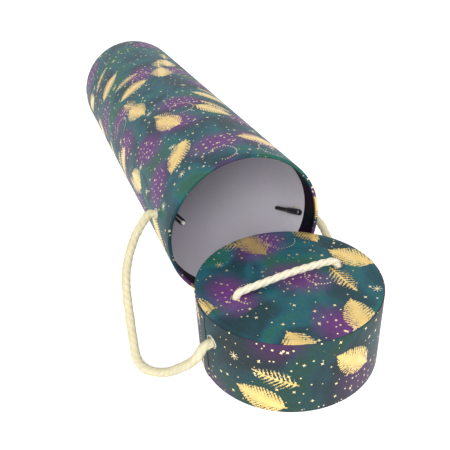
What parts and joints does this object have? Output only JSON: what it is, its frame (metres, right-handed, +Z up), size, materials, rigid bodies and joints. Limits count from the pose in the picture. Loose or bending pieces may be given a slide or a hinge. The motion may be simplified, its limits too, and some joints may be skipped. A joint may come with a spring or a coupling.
{
  "type": "bottle box",
  "caption": "Round board bottle box in patterned paper, lying open, its lid with a rope handle standing before the mouth on rope loops.",
  "frame": {"origin": "centre of the footprint of the box without its ropes, on the surface that it lies on", "axes": "+Z up; the tube lies along +Y with its base at +Y and its mouth towards -Y, and the lid stands on its rim before the mouth"},
  "size_m": [0.1588, 0.424, 0.102],
  "materials": {
    "tube_board": "spiral-wound grey board, seen only at the cut holes",
    "base_board": "grey board disc",
    "lid_board": "grey board",
    "printed_wrap": "printed paper with gold foil, satin",
    "base_paper": "plain printed paper, satin",
    "lining_paper": "plain pale mauve paper, matt",
    "rope": "laid cotton rope, cream",
    "toggle_plastic": "moulded black plastic"
  },
  "bodies": {
    "tube": {"tube_board": "tube_board", "tube_wrap": "printed_wrap", "tube_lining": "lining_paper", "tube_base_board": "base_board", "tube_base_paper": "base_paper", "tube_base_lining": "lining_paper", "left_loop": "rope", "right_loop": "rope"},
    "lid": {"lid_wall_board": "lid_board", "lid_top_board": "lid_board", "lid_wrap": "printed_wrap", "lid_top_paper": "printed_wrap", "lid_lining": "lining_paper", "lid_top_lining": "lining_paper", "left_lid_cord": "rope", "right_lid_cord": "rope"},
    "handle": {"handle_cord": "rope"},
    "left_toggle": {"left_toggle": "toggle_plastic", "left_rope_tip": "rope"},
    "right_toggle": {"right_toggle": "toggle_plastic", "right_rope_tip": "rope"}
  },
  "joints": [
    {"name": "lid_lift", "type": "slide", "parent": "tube", "child": "lid", "axis": [0, 0, 1], "range_m": [0, 0.07]},
    {"name": "handle_lift", "type": "slide", "parent": "lid", "child": "handle", "axis": [0, 0, 1], "range_m": [0, 0.024]},
    {"name": "left_toggle_turn", "type": "hinge", "parent": "tube", "child": "left_toggle", "pos_m": [-0.04188, -0.0755, 0.05809], "axis": [-0.9781, 0, 0.2079], "range_deg": [-38, 38], "stiffness_Nm_per_rad": 0.0002},
    {"name": "right_toggle_turn", "type": "hinge", "parent": "tube", "child": "right_toggle", "pos_m": [0.04204, -0.0755, 0.04025], "axis": [0.9781, 0, -0.2079], "range_deg": [-8, 50], "stiffness_Nm_per_rad": 0.0002}
  ]
}
